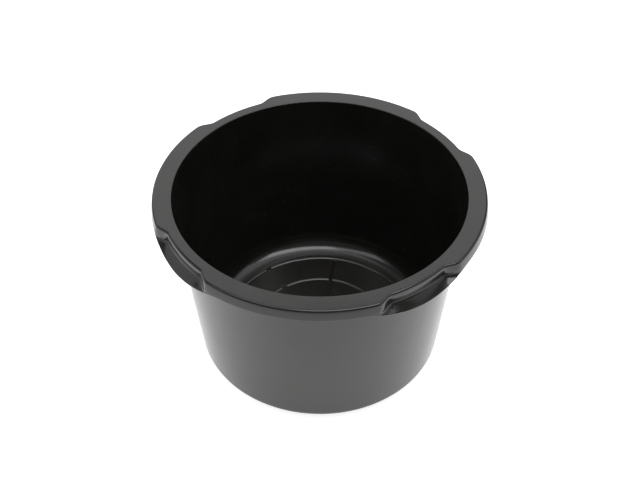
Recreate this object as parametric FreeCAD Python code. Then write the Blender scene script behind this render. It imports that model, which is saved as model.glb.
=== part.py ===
import FreeCAD, Part
import math
import os

# Round mortar mixing tub, one thin-walled plastic moulding.
# +Z is up, the origin is on the ground under the middle of the floor, sizes are in millimetres.
# Hand-holds face +X (right), +Y (back), -X (left) and -Y (front).
# The moulding is written out as its named regions, which meet face to face.

# Heights above the ground.
rim_top = 410.0
floor_outer_top = 11.5        # ring of floor next to the rounded corner
floor_middle_top = 8.5
floor_centre_top = 6.0
groove_bottom = 3.5           # along the middle of the radial grooves
corner_top = 60.0             # where the corner region ends and the plain wall begins

# Thicknesses of the plastic.
wall_thickness = 3.2
floor_thickness = 4.0
rim_thickness = 3.2

# Side wall, a cone that widens upwards.
wall_foot_radius = 261.0      # outer face, extended down to the underside of the outer floor
wall_draft = 5.47             # degrees
corner_outer_round = 20.0
corner_inner_round = 47.0

# The thick corner is cored out from below: the hollow starts level with the floor's underside
# and slopes up to an edge further out.
corner_core_inner_radius = 226.0
corner_core_top_radius = 251.0
corner_core_top = 20.0

# Floor rings. Four grooves between the hand-holds stand out below as ribs, and under each
# hand-hold the two steps of the floor have a notch.
outer_step_radius = 209.5
middle_step_radius = 141.5
floor_corner_radius = 215.0   # where the flat floor ends and the corner region begins
step_round = 2.4
hub_radius = 24.0
groove_width_at_axis = 14.5
groove_width_at_step = 6.2
groove_floor_share = 0.3      # width of a groove's bottom as a share of its width at the top
groove_end_radius = 206.0
rib_side_thickness = 3.0
notch_width = 12.0
notch_depth_beyond_step = 4.5

# Rim: a flat flange with a rounded edge and a hanging skirt.
rim_edge_radius = 335.5
rim_round = 5.5
rim_inner_round = 2.0
skirt_flare = 10.0            # degrees
skirt_bottom_radius = 338.2
skirt_drop = 22.0             # from the top of the rim to the lower edge of the skirt
skirt_bend_drop = 17.0

# Hand-holds: the flange is cut back, and a sloping lip hangs lower than the skirt.
hold_edge_radius = 320.5
hold_flare = -3.0             # degrees, negative because the recess wall leans inwards below
hold_half_angle = 22.5        # each hand-hold takes up one of the eight sectors
recess_flat_angle = 10.4      # the flange is fully cut back up to this angle from the middle
recess_end_angle = 17.0       # and has its full width again from this one
recess_foot_drop = 19.0       # the recess piece ends and the lip piece begins here
lip_root_drop = 24.0
lip_valley_radius = 320.0
lip_valley_drop = 27.5
lip_edge_radius = 337.0
lip_edge_drop = 42.0
lip_dip_half_angle = 21.5
lip_dip_power = 1.5
hold_stations = [0.0, 2.5, 5.0, 7.5, 10.0, 11.5, 13.0, 14.5, 16.0, 17.5, 19.0, 20.75, 22.5]

direction_names = ["right", "back_right", "back", "back_left", "left", "front_left", "front", "front_right"]
sector_angle = 360.0 / len(direction_names)

floor_underside = floor_outer_top - floor_thickness
flange_underside = rim_top - rim_thickness
up = FreeCAD.Vector(0, 0, 1)
origin = FreeCAD.Vector(0, 0, 0)


def point(radius, height):
    """A point of a cross-section, in the X-Z plane."""
    return FreeCAD.Vector(radius, 0, height)


def sloped(degrees):
    """A unit vector of a cross-section, at an angle from +X towards +Z."""
    angle = math.radians(degrees)
    return point(math.cos(angle), math.sin(angle))


def line(start, end):
    return Part.LineSegment(start, end).toShape()


def arc(centre, radius, start_degrees, end_degrees):
    middle_degrees = 0.5 * (start_degrees + end_degrees)
    points = [centre + sloped(degrees) * radius for degrees in (start_degrees, middle_degrees, end_degrees)]
    return Part.Arc(points[0], points[1], points[2]).toShape()


def bend(start, control, end):
    """A smooth curve that leaves start and reaches end along the lines to control."""
    shape = Part.BezierCurve()
    shape.setPoles([start, control, end])
    return shape.toShape()


def outline(pieces):
    """Joins edges and single points, in order, with straight lines into one closed wire."""
    def first(piece):
        return piece if isinstance(piece, FreeCAD.Vector) else piece.valueAt(piece.FirstParameter)

    def last(piece):
        return piece if isinstance(piece, FreeCAD.Vector) else piece.valueAt(piece.LastParameter)

    edges = []
    for index, piece in enumerate(pieces):
        if not isinstance(piece, FreeCAD.Vector):
            edges.append(piece)
        edges.append(line(last(piece), first(pieces[(index + 1) % len(pieces)])))
    return Part.Wire(edges)


def turned(shape, degrees):
    return shape.rotated(origin, up, degrees)


def spun(wire, middle_degrees, sweep_degrees):
    """Turns a cross-section about the tub's axis, evenly to both sides of a direction."""
    solid = Part.Face(wire).revolve(origin, up, sweep_degrees)
    return turned(solid, middle_degrees - 0.5 * sweep_degrees)


def ring(inner_radius, outer_radius, bottom, top):
    plate = Part.makeCylinder(outer_radius, top - bottom, point(0, bottom))
    if inner_radius > 0:
        plate = plate.cut(Part.makeCylinder(inner_radius, top - bottom, point(0, bottom)))
    return plate


def between(shape, bottom, top):
    """The part of a shape that lies between two heights."""
    return shape.common(ring(0, 2.0 * rim_edge_radius, bottom, top))


def write(name, shape):
    if not shape.isValid() or shape.Volume <= 0:
        raise ValueError(name + " is not a sound solid")
    shape.exportStep("parts/" + name + ".step")


# ---- Side wall and rounded corner ----

def wall_outer_radius(height):
    return wall_foot_radius + (height - floor_underside) * math.tan(math.radians(wall_draft))


def wall_inner_radius(height):
    return wall_outer_radius(height) - wall_thickness / math.cos(math.radians(wall_draft))


def make_wall(degrees):
    section = outline([
        point(wall_inner_radius(corner_top), corner_top),
        point(wall_outer_radius(corner_top), corner_top),
        point(wall_outer_radius(flange_underside), flange_underside),
        point(wall_inner_radius(flange_underside), flange_underside),
    ])
    return spun(section, degrees, sector_angle)


def corner_centre(radius_at_floor, floor_height, round_radius):
    """The centre of the arc that joins a level floor line to the leaning wall line."""
    draft = math.radians(wall_draft)
    lean = round_radius * math.tan(draft) - round_radius / math.cos(draft)
    return point(radius_at_floor + lean, floor_height + round_radius)


def make_corner(degrees):
    outer_centre = corner_centre(wall_foot_radius, floor_underside, corner_outer_round)
    inner_centre = corner_centre(wall_inner_radius(floor_outer_top), floor_outer_top, corner_inner_round)
    section = outline([
        point(floor_corner_radius, floor_underside),
        point(corner_core_inner_radius, floor_underside),
        point(corner_core_top_radius, corner_core_top),
        arc(outer_centre, corner_outer_round, -90.0, -wall_draft),
        point(wall_outer_radius(corner_top), corner_top),
        point(wall_inner_radius(corner_top), corner_top),
        arc(inner_centre, corner_inner_round, -wall_draft, -90.0),
        point(floor_corner_radius, floor_outer_top),
    ])
    return spun(section, degrees, sector_angle)


# ---- Floor ----

def groove_width(radius):
    share = radius / outer_step_radius
    return groove_width_at_axis + share * (groove_width_at_step - groove_width_at_axis)


def bar_outline(inner_radius, outer_radius, height, width_share, extra_width):
    """A level outline along +X that narrows outwards as a groove does."""
    inner_half = 0.5 * width_share * groove_width(inner_radius) + extra_width
    outer_half = 0.5 * width_share * groove_width(outer_radius) + extra_width
    corners = [
        FreeCAD.Vector(inner_radius, -inner_half, height),
        FreeCAD.Vector(outer_radius, -outer_half, height),
        FreeCAD.Vector(outer_radius, outer_half, height),
        FreeCAD.Vector(inner_radius, inner_half, height),
    ]
    return Part.makePolygon(corners + corners[:1])


def make_groove(inner_radius, outer_radius, floor_top):
    """The space of a groove: a narrow bottom, and sides that slope up to the floor."""
    bottom = bar_outline(inner_radius, outer_radius, groove_bottom, groove_floor_share, 0)
    top = bar_outline(inner_radius, outer_radius, floor_top, 1.0, 0)
    return Part.makeLoft([bottom, top], True, True)


def around(shape, first_degrees):
    """Four copies of a shape, a quarter turn apart."""
    return [turned(shape, first_degrees + 90.0 * index) for index in range(4)]


def rounded_ring(inner_radius, outer_radius, top):
    """A ring of floor whose upper edge is rounded where it steps down to the next one."""
    bottom = top - floor_thickness
    section = outline([
        point(inner_radius, bottom),
        point(outer_radius, bottom),
        point(outer_radius, top),
        arc(point(inner_radius + step_round, top - step_round), step_round, 90.0, 180.0),
    ])
    return spun(section, 0.5 * sector_angle, 360.0)


def with_grooves(plate, inner_radius, outer_radius, top):
    """Adds the ribs below a stretch of floor and cuts the grooves into it, midway between the hand-holds."""
    limits = ring(inner_radius, outer_radius, 0, top)
    start = max(0.0, inner_radius - groove_width_at_axis)
    reach = outer_radius + groove_width_at_axis
    rib_height = top - floor_thickness
    rib = Part.Face(bar_outline(start, reach, 0, 1.0, rib_side_thickness)).extrude(point(0, rib_height))
    groove = make_groove(start, min(reach, groove_end_radius), top)
    shape = plate.fuse([piece.common(limits) for piece in around(rib, sector_angle)])
    return shape.cut(around(groove, sector_angle)).removeSplitter()


def with_notches(plate, step_radius, bottom):
    """Cuts the edge of a step away under every hand-hold."""
    length = notch_depth_beyond_step + step_round
    corner = FreeCAD.Vector(step_radius + notch_depth_beyond_step - length, -0.5 * notch_width, bottom)
    notch = Part.makeBox(length, notch_width, rim_top, corner)
    return plate.cut(around(notch, 0.0))


def make_floor_centre():
    plate = ring(0, middle_step_radius, floor_centre_top - floor_thickness, floor_centre_top)
    hub = ring(0, hub_radius + rib_side_thickness, 0, floor_centre_top - floor_thickness)
    hub_recess = ring(0, hub_radius, groove_bottom, floor_centre_top)
    shape = with_grooves(plate.fuse(hub), 0, middle_step_radius, floor_centre_top)
    return shape.cut(hub_recess).removeSplitter()


def make_floor_middle():
    plate = with_notches(
        rounded_ring(middle_step_radius, outer_step_radius, floor_middle_top),
        middle_step_radius, floor_centre_top,
    )
    return with_grooves(plate, middle_step_radius, outer_step_radius, floor_middle_top)


def make_floor_outer():
    plate = rounded_ring(outer_step_radius, floor_corner_radius, floor_outer_top)
    return with_notches(plate, outer_step_radius, floor_middle_top)


# ---- Rim and hand-holds ----

def recess_amount(degrees):
    """How far the flange is cut back: 1 in the middle of a hand-hold, 0 outside it."""
    share = (abs(degrees) - recess_flat_angle) / (recess_end_angle - recess_flat_angle)
    return 0.5 + 0.5 * math.cos(math.pi * min(1.0, max(0.0, share)))


def lower_edge_drop(degrees):
    """The lower edge of the skirt dips in one smooth sweep to the edge of the lip."""
    share = min(1.0, abs(degrees) / lip_dip_half_angle)
    return skirt_drop + (lip_edge_drop - skirt_drop) * (1.0 - share * share) ** lip_dip_power


def mixed(normal, cut_back, amount):
    return normal + (cut_back - normal) * amount


def offset_corner(before, corner, after):
    """The corner of a bent sheet's inner face, one rim thickness in from its outer face."""
    def inward(start, end):
        along = (end - start).normalize()
        return point(along.z, -along.x)

    first = inward(before, corner)
    second = inward(corner, after)
    return corner + (first + second) * (rim_thickness / (1.0 + first.dot(second)))


def rim_section(degrees):
    """The closed cross-section of flange, recess wall or skirt, and lip, at an angle from a hand-hold."""
    amount = recess_amount(degrees)
    edge_radius = mixed(rim_edge_radius, hold_edge_radius, amount)
    flare = mixed(skirt_flare, hold_flare, amount)
    edge_centre = point(edge_radius - rim_round, rim_top - rim_round)
    edge_foot = edge_centre + sloped(flare) * rim_round
    root_drop = mixed(skirt_bend_drop, lip_root_drop, amount)
    face_height = edge_foot.z - rim_top + root_drop
    root = edge_foot + sloped(flare - 90.0) * (face_height / math.cos(math.radians(flare)))
    tip_radius = mixed(skirt_bottom_radius, lip_edge_radius, amount)
    tip = point(tip_radius, rim_top - lower_edge_drop(degrees))
    straight = (root + tip) * 0.5
    valley = point(
        mixed(straight.x, lip_valley_radius, amount),
        mixed(straight.z, rim_top - lip_valley_drop, amount),
    )
    inner_root = offset_corner(edge_foot, root, root + (root - edge_foot))
    inner_valley = offset_corner(root, valley, tip)
    inner_tip = offset_corner(valley, tip, tip + (tip - valley))
    face_slope = (edge_foot - root) * (1.0 / (edge_foot.z - root.z))
    inner_top = inner_root + face_slope * (flange_underside - inner_root.z)
    inner_radius = wall_inner_radius(flange_underside)
    inner_edge_centre = point(inner_radius + rim_inner_round, rim_top - rim_inner_round)
    return outline([
        point(inner_radius, flange_underside),
        arc(inner_edge_centre, rim_inner_round, 180.0, 90.0),
        arc(edge_centre, rim_round, 90.0, flare),
        bend(root, valley, tip),
        bend(inner_tip, inner_valley, inner_root),
        inner_top,
    ])


def make_hold(degrees):
    """Flange ledge, recess wall and lip of one hand-hold."""
    stations = [-station for station in reversed(hold_stations[1:])] + hold_stations
    sections = [turned(rim_section(station), station) for station in stations]
    whole = turned(Part.makeLoft(sections, True, False), degrees)
    foot_height = rim_top - recess_foot_drop
    ledge = between(whole, flange_underside, rim_top)
    recess = between(whole, foot_height, flange_underside)
    lip = between(whole, rim_top - 2.0 * lip_edge_drop, foot_height)
    return ledge, recess, lip


def make_rim(degrees):
    """Flange and skirt between two hand-holds."""
    whole = spun(rim_section(hold_half_angle), degrees, 2.0 * (sector_angle - hold_half_angle))
    flange = between(whole, flange_underside, rim_top)
    skirt = between(whole, rim_top - 2.0 * skirt_drop, flange_underside)
    return flange, skirt


os.makedirs("parts", exist_ok=True)
write("floor_centre", make_floor_centre())
write("floor_middle_ring", make_floor_middle())
write("floor_outer_ring", make_floor_outer())
for number, name in enumerate(direction_names):
    direction = number * sector_angle
    write("base_corner_" + name, make_corner(direction))
    write("side_wall_" + name, make_wall(direction))
    if number % 2 == 0:
        hold_ledge, hold_recess, hold_lip = make_hold(direction)
        write("hand_hold_ledge_" + name, hold_ledge)
        write("hand_hold_recess_" + name, hold_recess)
        write("hand_hold_lip_" + name, hold_lip)
    else:
        rim_flange, rim_skirt = make_rim(direction)
        write("rim_flange_" + name, rim_flange)
        write("rim_skirt_" + name, rim_skirt)
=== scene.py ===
import math

import bpy
import numpy as np
from mathutils import Matrix, Vector, noise


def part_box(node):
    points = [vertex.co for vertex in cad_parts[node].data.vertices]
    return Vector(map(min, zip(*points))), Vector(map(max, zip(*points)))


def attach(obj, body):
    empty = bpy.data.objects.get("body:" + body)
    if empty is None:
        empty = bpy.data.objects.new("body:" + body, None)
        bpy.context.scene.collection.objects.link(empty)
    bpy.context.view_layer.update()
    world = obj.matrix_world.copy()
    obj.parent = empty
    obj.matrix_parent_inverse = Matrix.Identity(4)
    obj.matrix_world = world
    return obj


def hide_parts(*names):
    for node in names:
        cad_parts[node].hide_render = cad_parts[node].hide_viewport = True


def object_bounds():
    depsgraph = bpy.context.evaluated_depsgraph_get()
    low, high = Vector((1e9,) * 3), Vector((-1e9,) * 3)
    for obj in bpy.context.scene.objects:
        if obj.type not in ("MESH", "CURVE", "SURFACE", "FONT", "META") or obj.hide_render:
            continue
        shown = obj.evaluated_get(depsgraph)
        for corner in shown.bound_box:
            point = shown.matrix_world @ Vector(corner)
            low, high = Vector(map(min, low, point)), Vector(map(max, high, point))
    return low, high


# Looks of a round mortar mixing tub. Metres, +Z up, the origin on the ground under the floor's middle.
# One continuous surface is worked out for the whole moulding and cut into one closed piece per CAD node.

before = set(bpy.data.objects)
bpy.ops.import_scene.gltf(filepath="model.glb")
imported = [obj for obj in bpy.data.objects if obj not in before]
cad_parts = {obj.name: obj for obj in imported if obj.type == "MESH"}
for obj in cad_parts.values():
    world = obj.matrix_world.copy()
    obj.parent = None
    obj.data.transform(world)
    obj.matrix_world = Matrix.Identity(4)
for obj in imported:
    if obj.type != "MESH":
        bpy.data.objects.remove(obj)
cad_lowest, cad_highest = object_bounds()
direction_names = ["right", "back_right", "back", "back_left", "left", "front_left", "front", "front_right"]
sector_angle = 360.0 / len(direction_names)

# ---- Sizes read from the CAD model ----

rim_top = cad_highest.z
floor_outer_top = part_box("floor_outer_ring")[1].z
floor_middle_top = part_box("floor_middle_ring")[1].z
floor_centre_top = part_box("floor_centre")[1].z
floor_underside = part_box("floor_outer_ring")[0].z
corner_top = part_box("base_corner_right")[1].z
flange_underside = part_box("rim_flange_back_right")[0].z
recess_foot_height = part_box("hand_hold_lip_right")[1].z
centre_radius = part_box("floor_centre")[1].x
middle_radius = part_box("floor_middle_ring")[1].x
floor_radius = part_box("floor_outer_ring")[1].x
floor_thickness = floor_outer_top - floor_underside
floor_centre_underside = floor_centre_top - floor_thickness
floor_middle_underside = floor_middle_top - floor_thickness
lip_edge_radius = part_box("hand_hold_lip_right")[1].x
rim_thickness = rim_top - flange_underside

# ---- Sizes of cross-sections, as in the CAD source ----

wall_thickness = 0.0032
wall_foot_radius = 0.261
wall_draft = math.radians(5.47)
corner_outer_round = 0.020
corner_inner_round = 0.047
corner_core_inner_radius = 0.226
corner_core_top_radius = 0.251
corner_core_top = 0.020
groove_bottom = 0.0035
hub_radius = 0.024
rib_side_thickness = 0.003
groove_width_at_axis = 0.0145
groove_width_at_step = 0.0062
groove_floor_share = 0.3
groove_end_radius = 0.206
notch_width = 0.012
notch_depth_beyond_step = 0.0045
rim_edge_radius = 0.3355
rim_round = 0.0055
rim_inner_round = 0.002
skirt_flare = 10.0
skirt_bottom_radius = 0.3382
skirt_drop = 0.022
skirt_bend_drop = 0.017
hold_edge_radius = 0.3205
hold_flare = -3.0
recess_flat_angle = 10.4
recess_end_angle = 17.0
lip_root_drop = 0.024
lip_valley_radius = 0.320
lip_valley_drop = 0.0275
lip_edge_drop = 0.042
lip_dip_half_angle = 21.5
lip_dip_power = 1.5

# Roundings that the CAD model leaves sharp or has in a simpler form.
step_edge_width = 0.0052
shoulder_softness = 0.25
floor_edge_width = 0.0018
lower_edge_round = 0.0011

# Numbers of points along the parts of the cross-section.
corner_points = 16
core_points = 3
wall_points = 28
inner_round_points = 7
flange_points = 8
flange_under_points = 5
rim_round_points = 9
rim_foot_points = 4
curve_points = 40
drop_points = 6
lip_outside_points = 22
lip_inside_points = 14
lower_edge_points = 4

# Adjoining faces that meet at more than this many degrees keep a sharp edge between them.
surface_crease = 45.0
floor_crease = 50.0


def polar(degrees):
    """A unit vector of a cross-section, at an angle from outwards towards up."""
    angle = math.radians(degrees)
    return np.array([math.cos(angle), math.sin(angle)])


def arc(centre, radius, start_degrees, end_degrees, count):
    return [np.array(centre) + radius * polar(a) for a in np.linspace(start_degrees, end_degrees, count)]


def straight(start, end, count):
    return [start + (end - start) * share for share in np.linspace(0.0, 1.0, count)]


def bezier(start, control, end, count):
    shares = np.linspace(0.0, 1.0, count)
    return [(1 - t) ** 2 * start + 2 * t * (1 - t) * control + t * t * end for t in shares]


def at_heights(points, heights):
    """Points of a run that only rises or only falls, at given heights."""
    run = np.array(points)
    order = np.argsort(run[:, 1])
    radii = np.interp(heights, run[order, 1], run[order, 0])
    return [np.array([radius, height]) for radius, height in zip(radii, heights)]


# ---- Cross-section of corner, wall, rim and hand-hold ----

def wall_outer_radius(height):
    return wall_foot_radius + (height - floor_underside) * math.tan(wall_draft)


def wall_inner_radius(height):
    return wall_outer_radius(height) - wall_thickness / math.cos(wall_draft)


def corner_centre(radius_at_floor, floor_height, round_radius):
    lean = round_radius * math.tan(wall_draft) - round_radius / math.cos(wall_draft)
    return np.array([radius_at_floor + lean, floor_height + round_radius])


def mixed(first, second, amount):
    """A value between two others, the first at amount 0 and the second at amount 1."""
    return first + (second - first) * amount


def recess_amount(degrees):
    """How far the rim is cut back at an angle from the middle of a hand-hold, from 1 down to 0."""
    share = (abs(degrees) - recess_flat_angle) / (recess_end_angle - recess_flat_angle)
    return 0.5 + 0.5 * math.cos(math.pi * min(1.0, max(0.0, share)))


def lower_edge_drop(degrees):
    """Depth of the free lower edge below the top of the rim."""
    share = min(1.0, abs(degrees) / lip_dip_half_angle)
    return skirt_drop + (lip_edge_drop - skirt_drop) * (1.0 - share * share) ** lip_dip_power


def inward(start, end):
    """A unit vector square to a line of the outer face, pointing into the material."""
    along = (end - start) / np.linalg.norm(end - start)
    return np.array([along[1], -along[0]])


def offset_corner(before, corner, after):
    """The point of the inner face that lies one thickness inside a corner of the outer face."""
    first = inward(before, corner)
    second = inward(corner, after)
    return corner + (first + second) * (rim_thickness / (1.0 + first.dot(second)))


def cross_section(degrees):
    """The closed outline of corner, wall and rim at an angle from the nearest hand-hold, as named runs."""
    amount = recess_amount(degrees)
    edge_radius = mixed(rim_edge_radius, hold_edge_radius, amount)
    flare = mixed(skirt_flare, hold_flare, amount)
    edge_centre = np.array([edge_radius - rim_round, rim_top - rim_round])
    edge_foot = edge_centre + polar(flare) * rim_round
    root_drop = mixed(skirt_bend_drop, lip_root_drop, amount)
    face_height = edge_foot[1] - rim_top + root_drop
    root = edge_foot + polar(flare - 90.0) * (face_height / math.cos(math.radians(flare)))
    tip_radius = mixed(skirt_bottom_radius, lip_edge_radius, amount)
    tip = np.array([tip_radius, rim_top - lower_edge_drop(degrees)])
    middle = (root + tip) * 0.5
    valley = np.array([
        mixed(middle[0], lip_valley_radius, amount),
        mixed(middle[1], rim_top - lip_valley_drop, amount),
    ])
    inner_root = offset_corner(edge_foot, root, root + (root - edge_foot))
    inner_valley = offset_corner(root, valley, tip)
    inner_tip = offset_corner(valley, tip, tip + (tip - valley))
    face_slope = (edge_foot - root) / (edge_foot[1] - root[1])
    inner_top = inner_root + face_slope * (flange_underside - inner_root[1])

    # The free lower edge is rounded over on both corners.
    edge_along = (tip - valley) / np.linalg.norm(tip - valley)
    edge_inward = inward(valley, tip)
    round_centres = [
        tip - edge_along * lower_edge_round + edge_inward * lower_edge_round,
        inner_tip - edge_along * lower_edge_round - edge_inward * lower_edge_round,
    ]
    turn = math.degrees(math.atan2(edge_along[1], edge_along[0]))
    outer_lower = tip - edge_along * lower_edge_round
    inner_lower = inner_tip - edge_along * lower_edge_round
    lower_edge = arc(round_centres[0], lower_edge_round, turn + 90.0, turn, lower_edge_points)
    lower_edge += arc(round_centres[1], lower_edge_round, turn, turn - 90.0, lower_edge_points)

    seam_angle = math.degrees(math.asin((flange_underside - edge_centre[1]) / rim_round))
    outside = arc(edge_centre, rim_round, seam_angle, flare, rim_foot_points)
    outside += bezier(root, valley, outer_lower, curve_points)
    inside = bezier(inner_lower, inner_valley, inner_root, curve_points) + [inner_top]
    drop_heights = np.linspace(flange_underside, recess_foot_height, drop_points)
    outer_heights = np.linspace(recess_foot_height, outer_lower[1], lip_outside_points)
    inner_heights = np.linspace(inner_lower[1], recess_foot_height, lip_inside_points)
    inner_edge_radius = wall_inner_radius(flange_underside)
    inner_edge_centre = [inner_edge_radius + rim_inner_round, rim_top - rim_inner_round]
    flange_root = np.array([wall_outer_radius(flange_underside), flange_underside])
    wall_heights = np.linspace(corner_top, flange_underside, wall_points)
    corner_inside = arc(
        corner_centre(wall_inner_radius(floor_outer_top), floor_outer_top, corner_inner_round),
        corner_inner_round, -90.0, -math.degrees(wall_draft), corner_points,
    )
    corner_outside = arc(
        corner_centre(wall_foot_radius, floor_underside, corner_outer_round),
        corner_outer_round, -math.degrees(wall_draft), -90.0, corner_points,
    )
    core_top = np.array([corner_core_top_radius, corner_core_top])
    core_foot = np.array([corner_core_inner_radius, floor_underside])
    return {
        "corner_inside": [np.array([floor_radius, floor_outer_top])]
        + corner_inside + [np.array([wall_inner_radius(corner_top), corner_top])],
        "wall_inside": [np.array([wall_inner_radius(z), z]) for z in wall_heights],
        "flange_top": [np.array([inner_edge_radius, flange_underside])]
        + arc(inner_edge_centre, rim_inner_round, 180.0, 90.0, inner_round_points)
        + straight(
            np.array([inner_edge_radius + rim_inner_round, rim_top]),
            np.array([edge_radius - rim_round, rim_top]), flange_points,
        )[1:-1]
        + arc(edge_centre, rim_round, 90.0, seam_angle, rim_round_points),
        "drop_outside": at_heights(outside, drop_heights),
        "lip_outside": at_heights(outside, outer_heights),
        "lower_edge": lower_edge,
        "lip_inside": at_heights(inside, inner_heights),
        "drop_inside": at_heights(inside, drop_heights[::-1]),
        "flange_under": straight(inner_top, flange_root, flange_under_points),
        "wall_outside": [np.array([wall_outer_radius(z), z]) for z in wall_heights[::-1]],
        "corner_outside": [np.array([wall_outer_radius(corner_top), corner_top])]
        + corner_outside + straight(corner_outside[-1], core_top, core_points)[1:]
        + straight(core_top, core_foot, core_points)[1:] + [np.array([floor_radius, floor_underside])],
    }


# ---- Meshes ----

plastic = bpy.data.materials.new("black_moulded_plastic")


def corner_normals(points, crease_degrees):
    """Shading normals at the four corners of every quad of a grid that closes along its first axis."""
    following = np.roll(points, -1, axis=0)
    quad_normals = np.cross(following[:, 1:] - points[:, :-1], following[:, :-1] - points[:, 1:])
    lengths = np.linalg.norm(quad_normals, axis=2, keepdims=True)
    directions = quad_normals / np.maximum(lengths, 1e-18)
    padded = np.pad(quad_normals, ((0, 0), (1, 1), (0, 0)))
    padded_directions = np.pad(directions, ((0, 0), (1, 1), (0, 0)))
    rows = quad_normals.shape[1]
    found = []
    for column_step, row_step in ((0, 0), (0, 1), (1, 1), (1, 0)):
        total = np.zeros_like(quad_normals)
        for column_shift in (column_step - 1, column_step):
            for row_shift in (row_step, row_step + 1):
                window = slice(row_shift, row_shift + rows)
                neighbour = np.roll(padded, -column_shift, axis=0)[:, window]
                neighbour_direction = np.roll(padded_directions, -column_shift, axis=0)[:, window]
                agreement = (neighbour_direction * directions).sum(axis=2, keepdims=True)
                total += neighbour * (agreement > math.cos(math.radians(crease_degrees)))
        found.append(total / np.maximum(np.linalg.norm(total, axis=2, keepdims=True), 1e-18))
    return np.stack(found, axis=2)


def make_piece(name, vertices, quads, quad_normals, cut_faces):
    """One closed piece: visible quads with their own shading normals, and the flat faces where it was cut."""
    mesh = bpy.data.meshes.new(name)
    faces = [tuple(face) for face in quads + cut_faces]
    mesh.from_pydata([tuple(vertex) for vertex in vertices], [], faces)
    mesh.update()
    mesh.shade_smooth()
    normals = np.zeros((len(mesh.loops), 3))
    normals[:4 * len(quads)] = quad_normals.reshape(-1, 3)
    for polygon in mesh.polygons[len(quads):]:
        normals[polygon.loop_start:polygon.loop_start + polygon.loop_total] = polygon.normal
    mesh.normals_split_custom_set([tuple(n) for n in normals])
    mesh.materials.append(plastic)
    piece = bpy.data.objects.new(name + "_moulded", mesh)
    bpy.context.scene.collection.objects.link(piece)
    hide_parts(name)
    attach(piece, "root")
    return piece


def round_grid(radii, heights, angles):
    """Points from a radius, height and angle for every column and row."""
    return np.stack([radii * np.cos(angles), radii * np.sin(angles), heights], axis=2)


# ---- Wall, corner and rim as one surface ----

run_names = [
    "corner_inside", "wall_inside", "flange_top", "drop_outside", "lip_outside", "lower_edge",
    "lip_inside", "drop_inside", "flange_under", "wall_outside", "corner_outside",
]
# Columns of half a sector, in degrees from its middle, closest together at the end of a hand-hold.
half_sector = np.concatenate([
    np.linspace(1.5, 10.5, 7),
    np.linspace(11.0, 16.5, 12),
    np.linspace(17.7, 22.5, 5),
])
sector_offsets = np.concatenate([-half_sector[::-1], [0.0], half_sector])
columns_per_sector = len(sector_offsets) - 1
column_degrees = np.concatenate([
    number * sector_angle + sector_offsets[:-1] for number in range(len(direction_names))
])


def from_nearest_hold(degrees):
    return abs((degrees + sector_angle) % (2.0 * sector_angle) - sector_angle)


def whole_surface():
    """Radii and heights of every column and row, and the rows of each run."""
    sections = {}
    columns = []
    for degrees in column_degrees:
        key = round(from_nearest_hold(degrees), 6)
        if key not in sections:
            sections[key] = cross_section(key)
        columns.append(sections[key])
    run_rows = {}
    first_row = 0
    for name in run_names:
        length = len(columns[0][name])
        run_rows[name] = list(range(first_row, first_row + length))
        first_row += length - 1
    outline = [
        [p for name in run_names for p in section[name][:-1]] + [section[run_names[-1]][-1]]
        for section in columns
    ]
    return np.array(outline), run_rows


wave_depth = 0.00025
waves_per_metre = 14.0
nick_depth = 0.0012
nicks_per_metre = 160.0
nick_threshold = 0.15
fade_width = 0.02


def moulding_unevenness(points):
    """Depth by which each point lies below the ideal surface: slow waves, and nicks along the free edge."""
    depths = np.zeros(points.shape[:2])
    free_edge_rows = set(run_rows["lower_edge"])
    for column in range(points.shape[0]):
        for row in range(points.shape[1]):
            place = Vector(points[column, row])
            wave = 0.5 + 0.5 * noise.noise(place * waves_per_metre)
            depths[column, row] = wave_depth * wave
            if row in free_edge_rows:
                nick = max(0.0, noise.noise(place * nicks_per_metre) - nick_threshold)
                depths[column, row] += nick_depth * nick
    return depths


outline, run_rows = whole_surface()
column_angles = np.radians(column_degrees)[:, None] + np.zeros(outline.shape[:2])
surface = round_grid(outline[:, :, 0], outline[:, :, 1], column_angles)
ideal_normals = corner_normals(surface, surface_crease)
ideal_normals = np.concatenate([ideal_normals[:, :, 0], ideal_normals[:, -1:, 1]], axis=1)
fade = np.clip((outline[:, :, 0] - floor_radius) / fade_width, 0.0, 1.0)
surface -= ideal_normals * (moulding_unevenness(surface) * fade)[:, :, None]
surface = np.clip(surface, np.array(cad_lowest), np.array(cad_highest))
surface_normals = corner_normals(surface, surface_crease)


def make_sector_piece(name, sector, runs):
    """The part of the surface in one sector that belongs to one CAD node, closed where it was cut."""
    rows = []
    for run in runs:
        rows += [row for row in run_rows[run] if not rows or row != rows[-1]]
    first_column = sector * columns_per_sector
    columns = [(first_column + step) % len(column_degrees) for step in range(columns_per_sector + 1)]
    vertices = surface[np.ix_(columns, rows)].reshape(-1, 3)
    quads = []
    normals = []
    cut_faces = []
    count = len(rows)
    for step in range(columns_per_sector):
        for index, row in enumerate(rows):
            following = (index + 1) % count
            here = step * count
            quad = (here + index, here + following, here + count + following, here + count + index)
            if rows[following] == row + 1:
                quads.append(quad)
                normals.append(surface_normals[columns[step], row])
            else:
                cut_faces.append(quad)
    cut_faces.append(tuple(range(count))[::-1])
    last = columns_per_sector * count
    cut_faces.append(tuple(range(last, last + count)))
    return make_piece(name, vertices, quads, np.array(normals), cut_faces)


# ---- Floor ----

def rounded_step(distance, width):
    """Rises from 0 to 1 over a width beyond an edge, steep at first and then rounding over."""
    share = np.clip(distance / width, 0.0, 1.0)
    return np.sqrt(1.0 - (1.0 - share) ** 2)


def soft_step(distance, width):
    """Rises from 0 to 1 over a width beyond an edge, as a rounded step with a softer shoulder."""
    share = np.clip(distance / width, 0.0, 1.0)
    eased = share * share * (3.0 - 2.0 * share)
    return mixed(rounded_step(distance, width), eased, shoulder_softness)


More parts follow.
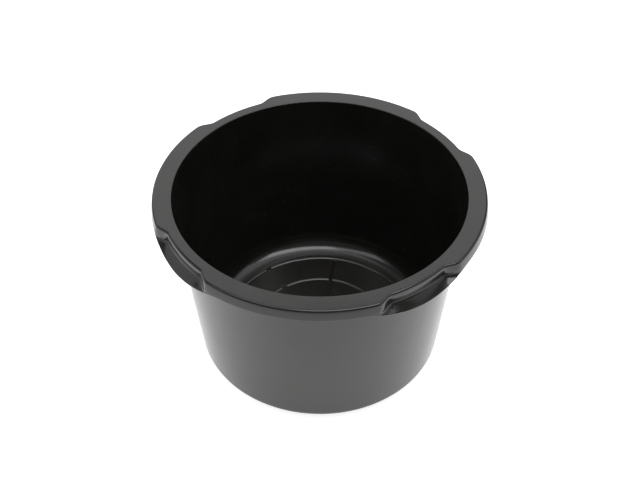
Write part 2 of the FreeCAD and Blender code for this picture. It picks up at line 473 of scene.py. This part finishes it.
def groove_half_width(along):
    """Half the width of a groove at a distance from the axis, tapering outwards."""
    share = along / middle_radius
    return 0.5 * (groove_width_at_axis + share * (groove_width_at_step - groove_width_at_axis))


def beyond_bar(along, across, half_width, end):
    """Distance outside a groove, rib or notch that lies along +X and stops at an end."""
    beside = np.abs(across) - half_width
    past = along - end
    both = np.hypot(np.maximum(beside, 0.0), np.maximum(past, 0.0))
    return np.where(both > 0.0, both, np.maximum(beside, past))


def edge_rows(start, width):
    """Rows across an edge, closest together where it is steepest."""
    return start + width * edge_shares


def spaced(start, end, spacing):
    return np.linspace(start, end, max(2, int(math.ceil((end - start) / spacing)) + 1))


edge_shares = np.array([-0.02, 0.0, 0.02, 0.06, 0.15, 0.3, 0.5, 0.7, 0.85, 1.0])
hub_rib_radius = hub_radius + rib_side_thickness
hub_rows = [0.004, 0.014]
rib_round = 0.001
row_spacing = 0.005
row_radii = np.unique(np.round(np.concatenate([
    hub_rows,
    edge_rows(hub_radius, floor_edge_width),
    edge_rows(hub_rib_radius - rib_round, rib_round),
    spaced(hub_rib_radius, centre_radius, row_spacing),
    edge_rows(centre_radius, step_edge_width)[1:],
    edge_rows(centre_radius + notch_depth_beyond_step, floor_edge_width),
    spaced(centre_radius + step_edge_width, groove_end_radius, row_spacing),
    edge_rows(groove_end_radius, floor_edge_width),
    edge_rows(middle_radius - rib_round, rib_round)[:-1],
    edge_rows(middle_radius, step_edge_width)[1:],
    edge_rows(middle_radius + notch_depth_beyond_step, floor_edge_width),
    [floor_radius],
]), 6))

# Columns follow the edges of the grooves, ribs and notches, and are evenly spaced between them.
shares_inside = np.array([0.15, 0.3, 0.42, 0.54, 0.66, 0.78, 0.9])
offsets_outside = np.unique(np.round(np.concatenate([
    edge_rows(0.0, floor_edge_width)[1:], edge_rows(rib_side_thickness - rib_round, rib_round),
]), 6))
columns_between = 8
smallest_column_step = math.radians(0.08)


def floor_angles(radii):
    """Column angles for every radius, one row of them per radius, around the whole floor."""
    reach = np.maximum(radii, hub_radius)[:, None]
    half_sector_angle = math.radians(0.5 * sector_angle)
    turns = []
    for number in range(len(direction_names)):
        half_width = groove_half_width(reach) if number % 2 else np.full_like(reach, 0.5 * notch_width)
        distances = np.concatenate([half_width * shares_inside, half_width + offsets_outside], axis=1)
        from_last = np.arange(distances.shape[1], 0, -1)
        beside = np.arcsin(np.clip(distances / reach, -1.0, 1.0))
        beside = np.minimum(beside, half_sector_angle - smallest_column_step * from_last)
        shares = np.linspace(0.0, 1.0, columns_between // 2 + 1)[1:]
        between = beside[:, -1:] + (half_sector_angle - beside[:, -1:]) * shares
        half = np.concatenate([beside, between], axis=1)
        sector = np.concatenate([-half[:, ::-1][:, 1:], np.zeros_like(half[:, :1]), half], axis=1)[:, :-1]
        turns.append(sector + math.radians(number * sector_angle))
    return np.concatenate(turns, axis=1)


def along_and_across(first_degrees):
    """Places of the floor grid measured from the nearest of four directions, a quarter turn apart."""
    quarter = 0.5 * math.pi
    from_nearest = (angles - math.radians(first_degrees) + 0.5 * quarter) % quarter - 0.5 * quarter
    return radii * np.cos(from_nearest), radii * np.sin(from_nearest)


def step_share(step_radius):
    """Rise from 0 to 1 at a step of the floor, which has a notch under every hand-hold."""
    along, across = along_and_across(0.0)
    notch_distance = beyond_bar(along, across, 0.5 * notch_width, step_radius + notch_depth_beyond_step)
    return np.minimum(
        soft_step(radii - step_radius, step_edge_width),
        rounded_step(notch_distance, floor_edge_width),
    )


def groove_share():
    """Rise from 0 in the bottom of the grooves and the hub to 1 on the floor."""
    along, across = along_and_across(sector_angle)
    half_width = groove_half_width(along)
    side = np.clip((np.abs(across) / half_width - groove_floor_share) / (1.0 - groove_floor_share), 0.0, 1.0)
    end = rounded_step(along - groove_end_radius, floor_edge_width)
    beside_or_beyond = np.maximum(side * side * (3.0 - 2.0 * side), end)
    return np.minimum(beside_or_beyond, rounded_step(radii - hub_radius, floor_edge_width))


angles = floor_angles(row_radii).T
radii = np.tile(row_radii, (angles.shape[0], 1))
top_heights = (
    floor_centre_top
    + (floor_middle_top - floor_centre_top) * step_share(centre_radius)
    + (floor_outer_top - floor_middle_top) * step_share(middle_radius)
)
top_heights = groove_bottom + (top_heights - groove_bottom) * groove_share()

rib_along, rib_across = along_and_across(sector_angle)
rib_distance = np.minimum(
    beyond_bar(rib_along, rib_across, groove_half_width(rib_along) + rib_side_thickness, middle_radius),
    radii - hub_rib_radius,
)
rib_share = 1.0 - rounded_step(-rib_distance, rib_round)


def make_floor_piece(name, first_row, last_row, underside, has_ribs):
    """A ring of floor, or the disc in its middle, with its upper face, underside and cut edges."""
    rows = slice(first_row, last_row + 1)
    ring_radii = radii[:, rows]
    ring_angles = angles[:, rows]
    upper = round_grid(ring_radii, top_heights[:, rows], ring_angles)
    under_heights = underside * rib_share[:, rows] if has_ribs else np.full_like(ring_radii, underside)
    lower = round_grid(ring_radii, under_heights, ring_angles)[:, ::-1]
    columns, count = ring_radii.shape
    vertices = np.concatenate([upper, lower], axis=1).reshape(-1, 3)
    normals = np.concatenate([
        corner_normals(upper, floor_crease),
        corner_normals(lower, floor_crease),
    ], axis=1)
    stride = 2 * count
    quads = []
    cut_faces = []
    for column in range(columns):
        here = column * stride
        there = ((column + 1) % columns) * stride
        for row in range(stride):
            following = (row + 1) % stride
            quad = (here + row, here + following, there + following, there + row)
            if row not in (count - 1, stride - 1):
                quads.append(quad)
            elif row == count - 1 or first_row > 0:
                cut_faces.append(quad)
    if first_row == 0:
        cut_faces.append(tuple(column * stride for column in range(columns)))
        cut_faces.append(tuple(column * stride + stride - 1 for column in range(columns))[::-1])
    return make_piece(name, vertices, quads, normals.reshape(-1, 4, 3), cut_faces)


# ---- Material ----

plastic_ior = 1.54
dark_tone = (0.0094, 0.0091, 0.0083, 1.0)
light_tone = (0.0134, 0.0130, 0.0119, 1.0)
# Painted light: a lighter colour for the floor, standing in for the light that falls on it.
painted_floor_light = (0.0190, 0.0185, 0.0170, 1.0)
scuffed_colour = (0.045, 0.043, 0.040, 1.0)
smoothest = 0.13
roughest = 0.19
scratch_roughness = 0.15
wear_roughness = 0.08
# How far above the floor the dulling and the painted light reach.
wear_and_light_reach = 0.006
grain_height = 0.000015
flow_wave_height = 0.00005
scratch_depth = 0.00003
scratch_half_width = 0.003
scratch_stretch = (22.0, 9.0, 60.0)
scratch_turn = (0.3, 0.2, 0.7)


def make_plastic(material):
    """Black polyethylene: nearly black, with a soft cloudy sheen, fine grain, flow waves and light scuffs;
    the floor is painted lighter in patches for the light that falls on it.
    """
    material.use_nodes = True
    nodes = material.node_tree.nodes
    links = material.node_tree.links
    nodes.clear()
    output = nodes.new("ShaderNodeOutputMaterial")
    shader = nodes.new("ShaderNodeBsdfPrincipled")
    links.new(shader.outputs["BSDF"], output.inputs["Surface"])
    shader.inputs["IOR"].default_value = plastic_ior
    place = nodes.new("ShaderNodeTexCoord").outputs["Object"]

    def cloud(scale, detail, distortion=0.0):
        texture = nodes.new("ShaderNodeTexNoise")
        texture.inputs["Scale"].default_value = scale
        texture.inputs["Detail"].default_value = detail
        texture.inputs["Distortion"].default_value = distortion
        links.new(place, texture.inputs["Vector"])
        return texture.outputs["Fac"]

    def ranged(value, from_low, from_high, to_low, to_high):
        spread = nodes.new("ShaderNodeMapRange")
        spread.inputs["From Min"].default_value = from_low
        spread.inputs["From Max"].default_value = from_high
        spread.inputs["To Min"].default_value = to_low
        spread.inputs["To Max"].default_value = to_high
        links.new(value, spread.inputs["Value"])
        return spread.outputs["Result"]

    def combined(operation, first, second):
        step = nodes.new("ShaderNodeMath")
        step.operation = operation
        links.new(first, step.inputs[0])
        links.new(second, step.inputs[1])
        return step.outputs["Value"]

    # Short scratches: narrow bands where a stretched, warped noise crosses its middle value.
    stretch = nodes.new("ShaderNodeMapping")
    stretch.inputs["Scale"].default_value = scratch_stretch
    stretch.inputs["Rotation"].default_value = scratch_turn
    links.new(place, stretch.inputs["Vector"])
    streaks = nodes.new("ShaderNodeTexNoise")
    streaks.inputs["Scale"].default_value = 1.0
    streaks.inputs["Detail"].default_value = 2.0
    streaks.inputs["Distortion"].default_value = 1.6
    links.new(stretch.outputs["Vector"], streaks.inputs["Vector"])
    near_middle = ranged(streaks.outputs["Fac"], 0.5 - scratch_half_width, 0.5, 0.0, 1.0)
    past_middle = ranged(streaks.outputs["Fac"], 0.5, 0.5 + scratch_half_width, 1.0, 0.0)
    patches = ranged(cloud(scale=17.0, detail=2.0), 0.56, 0.66, 0.0, 1.0)
    scratches = combined("MULTIPLY", combined("MULTIPLY", near_middle, past_middle), patches)

    # Wear and painted light: the shovel and the mixing paddle have dulled the floor in patches, and the same
    # patches are painted lighter for the light that falls into the tub onto the floor.
    height = nodes.new("ShaderNodeSeparateXYZ")
    links.new(place, height.inputs["Vector"])
    near_floor = ranged(height.outputs["Z"], floor_outer_top, floor_outer_top + wear_and_light_reach, 1.0, 0.0)
    wear_and_light_patches = ranged(cloud(scale=7.0, detail=5.0, distortion=0.4), 0.3, 0.62, 0.5, 1.0)
    wear_and_floor_light = combined("MULTIPLY", near_floor, wear_and_light_patches)

    # Colour: black with a slightly warm, slightly uneven grey.
    tone = nodes.new("ShaderNodeValToRGB")
    tone.color_ramp.elements[0].position = 0.35
    tone.color_ramp.elements[0].color = dark_tone
    tone.color_ramp.elements[1].position = 0.7
    tone.color_ramp.elements[1].color = light_tone
    links.new(cloud(scale=9.0, detail=5.0), tone.inputs["Fac"])
    # Painted light: the floor gets a lighter colour in patches for the light that falls on it.
    floor_light_mix = nodes.new("ShaderNodeMix")
    floor_light_mix.data_type = "RGBA"
    floor_light_mix.inputs["B"].default_value = painted_floor_light
    links.new(wear_and_floor_light, floor_light_mix.inputs["Factor"])
    links.new(tone.outputs["Color"], floor_light_mix.inputs["A"])
    scuffed = nodes.new("ShaderNodeMix")
    scuffed.data_type = "RGBA"
    scuffed.inputs["B"].default_value = scuffed_colour
    links.new(scratches, scuffed.inputs["Factor"])
    links.new(floor_light_mix.outputs["Result"], scuffed.inputs["A"])
    links.new(scuffed.outputs["Result"], shader.inputs["Base Color"])

    # Sheen: cloudy patches of slightly duller plastic, with duller scratches.
    broad = cloud(scale=13.0, detail=4.0, distortion=0.6)
    mottling = combined("ADD", broad, cloud(scale=70.0, detail=3.0))
    roughness = ranged(mottling, 0.7, 1.3, smoothest, roughest)
    roughened = combined("ADD", roughness, ranged(scratches, 0.0, 1.0, 0.0, scratch_roughness))
    worn_down = combined("ADD", roughened, ranged(wear_and_floor_light, 0.0, 1.0, 0.0, wear_roughness))
    links.new(worn_down, shader.inputs["Roughness"])

    # Relief: fine grain over slow flow waves, and the scratches cut in.
    grain = ranged(cloud(scale=1400.0, detail=2.0), 0.0, 1.0, 0.0, grain_height)
    waves = ranged(cloud(scale=30.0, detail=2.0), 0.0, 1.0, 0.0, flow_wave_height)
    cuts = ranged(scratches, 0.0, 1.0, 0.0, -scratch_depth)
    relief = nodes.new("ShaderNodeBump")
    relief.inputs["Distance"].default_value = 1.0
    relief.inputs["Strength"].default_value = 1.0
    links.new(combined("ADD", combined("ADD", grain, waves), cuts), relief.inputs["Height"])
    links.new(relief.outputs["Normal"], shader.inputs["Normal"])


make_plastic(plastic)

# ---- The pieces ----

skirt_runs = ["drop_outside", "lip_outside", "lower_edge", "lip_inside", "drop_inside"]
centre_row = int(np.argmin(np.abs(row_radii - centre_radius)))
middle_row = int(np.argmin(np.abs(row_radii - middle_radius)))
make_floor_piece("floor_centre", 0, centre_row, floor_centre_underside, True)
make_floor_piece("floor_middle_ring", centre_row, middle_row, floor_middle_underside, True)
make_floor_piece("floor_outer_ring", middle_row, len(row_radii) - 1, floor_underside, False)
for sector, direction in enumerate(direction_names):
    make_sector_piece("base_corner_" + direction, sector, ["corner_inside", "corner_outside"])
    make_sector_piece("side_wall_" + direction, sector, ["wall_inside", "wall_outside"])
    if sector % 2 == 0:
        make_sector_piece("hand_hold_ledge_" + direction, sector, ["flange_top", "flange_under"])
        make_sector_piece("hand_hold_recess_" + direction, sector, ["drop_outside", "drop_inside"])
        make_sector_piece("hand_hold_lip_" + direction, sector, ["lip_outside", "lower_edge", "lip_inside"])
    else:
        make_sector_piece("rim_flange_" + direction, sector, ["flange_top", "flange_under"])
        make_sector_piece("rim_skirt_" + direction, sector, skirt_runs)

# ---- Studio: pale floor, soft lights and camera ----

scene = bpy.context.scene
scene.view_settings.view_transform = "Standard"
ground_half_size = 14.0
ground_gap = 0.0002
floor_glow = 0.83
glow_fades_from = -2.2
glow_full_from = -0.9
world_brightness = 0.2
view_azimuth = math.radians(35.0)
view_elevation = math.radians(43.29)
view_roll = math.radians(0.08)
view_distance = 2.2173
aim_height = 0.2695
aim_to_right = 0.0003
sensor_width = 36.0
focal_length = 59.6
away = Vector((math.sin(view_azimuth), math.cos(view_azimuth), 0.0))
to_right = Vector((math.cos(view_azimuth), -math.sin(view_azimuth), 0.0))
upwards = Vector((0.0, 0.0, 1.0))
tub_middle = upwards * (0.5 * rim_top)


def make_ground(half_size):
    """Pale floor that glows like a light table, fading out on the side that the camera stands on."""
    mesh = bpy.data.meshes.new("studio_floor")
    corners = [(x, y, -ground_gap) for x, y in ((-1, -1), (1, -1), (1, 1), (-1, 1))]
    corners = [(half_size * x, half_size * y, z) for x, y, z in corners]
    mesh.from_pydata(corners, [], [(0, 1, 2, 3)])
    material = bpy.data.materials.new("pale_paper")
    material.use_nodes = True
    nodes = material.node_tree.nodes
    links = material.node_tree.links
    paper = nodes["Principled BSDF"]
    paper.inputs["Base Color"].default_value = (0.88, 0.88, 0.88, 1.0)
    paper.inputs["Roughness"].default_value = 0.9
    paper.inputs["Specular IOR Level"].default_value = 0.1
    paper.inputs["Emission Color"].default_value = (1.0, 1.0, 1.0, 1.0)
    place = nodes.new("ShaderNodeTexCoord")
    behind = nodes.new("ShaderNodeVectorMath")
    behind.operation = "DOT_PRODUCT"
    behind.inputs[1].default_value = away
    links.new(place.outputs["Object"], behind.inputs[0])
    glow = nodes.new("ShaderNodeMapRange")
    glow.interpolation_type = "SMOOTHSTEP"
    glow.inputs["From Min"].default_value = glow_fades_from
    glow.inputs["From Max"].default_value = glow_full_from
    glow.inputs["To Min"].default_value = 0.0
    glow.inputs["To Max"].default_value = floor_glow
    links.new(behind.outputs["Value"], glow.inputs["Value"])
    links.new(glow.outputs["Result"], paper.inputs["Emission Strength"])
    mesh.materials.append(material)
    ground = bpy.data.objects.new("studio_floor", mesh)
    scene.collection.objects.link(ground)


def soft_light(name, place, level, width, height, radiance):
    """A rectangular softbox of even brightness that faces the tub, its width along a level line."""
    facing = (place - tub_middle).normalized()
    upright = facing.cross(level).normalized()
    sideways = upright.cross(facing)
    data = bpy.data.lights.new(name, "AREA")
    data.shape = "RECTANGLE"
    data.size = width
    data.size_y = height
    data.energy = radiance * math.pi * width * height
    box = bpy.data.objects.new(name, data)
    box.location = place
    box.rotation_mode = "QUATERNION"
    box.rotation_quaternion = Matrix((sideways, upright, facing)).transposed().to_quaternion()
    box.visible_camera = False
    scene.collection.objects.link(box)


make_ground(ground_half_size)

# Name, then metres to the right, back and up, the level direction, width, height and radiance.
softboxes = [
    ("softbox_key", (0.6, -0.55, 3.0), to_right, 2.2, 0.95, 4.4),
    ("softbox_key_tail", (0.7, 0.65, 3.0), to_right, 3.6, 1.45, 1.1),
    ("softbox_fill", (-1.3, -0.55, 3.0), to_right, 1.6, 0.95, 1.7),
    ("softbox_back", (-0.6, 3.6, 3.0), to_right, 6.0, 2.6, 1.2),
    ("softbox_left", (-3.6, 0.0, 1.6), away, 4.0, 2.4, 0.75),
    ("softbox_right", (3.6, 0.0, 1.6), away, 4.0, 2.4, 0.55),
]
for name, (rightwards, backwards, up), level, width, height, radiance in softboxes:
    place = to_right * rightwards + away * backwards + upwards * up
    soft_light(name, place, level, width, height, radiance)

world = bpy.data.worlds.new("studio")
world.use_nodes = True
background = world.node_tree.nodes["Background"]
background.inputs["Color"].default_value = (1.0, 1.0, 1.0, 1.0)
background.inputs["Strength"].default_value = world_brightness
scene.world = world

camera_data = bpy.data.cameras.new("camera")
camera_data.sensor_width = sensor_width
camera_data.lens = focal_length
camera = bpy.data.objects.new("camera", camera_data)
back = -away * math.cos(view_elevation) + upwards * math.sin(view_elevation)
upright = back.cross(to_right)
across_view = to_right * math.cos(view_roll) - upright * math.sin(view_roll)
up_view = to_right * math.sin(view_roll) + upright * math.cos(view_roll)
aim_point = upwards * aim_height + to_right * aim_to_right
camera.location = aim_point + back * view_distance
camera.rotation_mode = "QUATERNION"
camera.rotation_quaternion = Matrix((across_view, up_view, back)).transposed().to_quaternion()
camera_data.clip_start = 0.05
camera_data.clip_end = 60.0
scene.collection.objects.link(camera)
scene.camera = camera
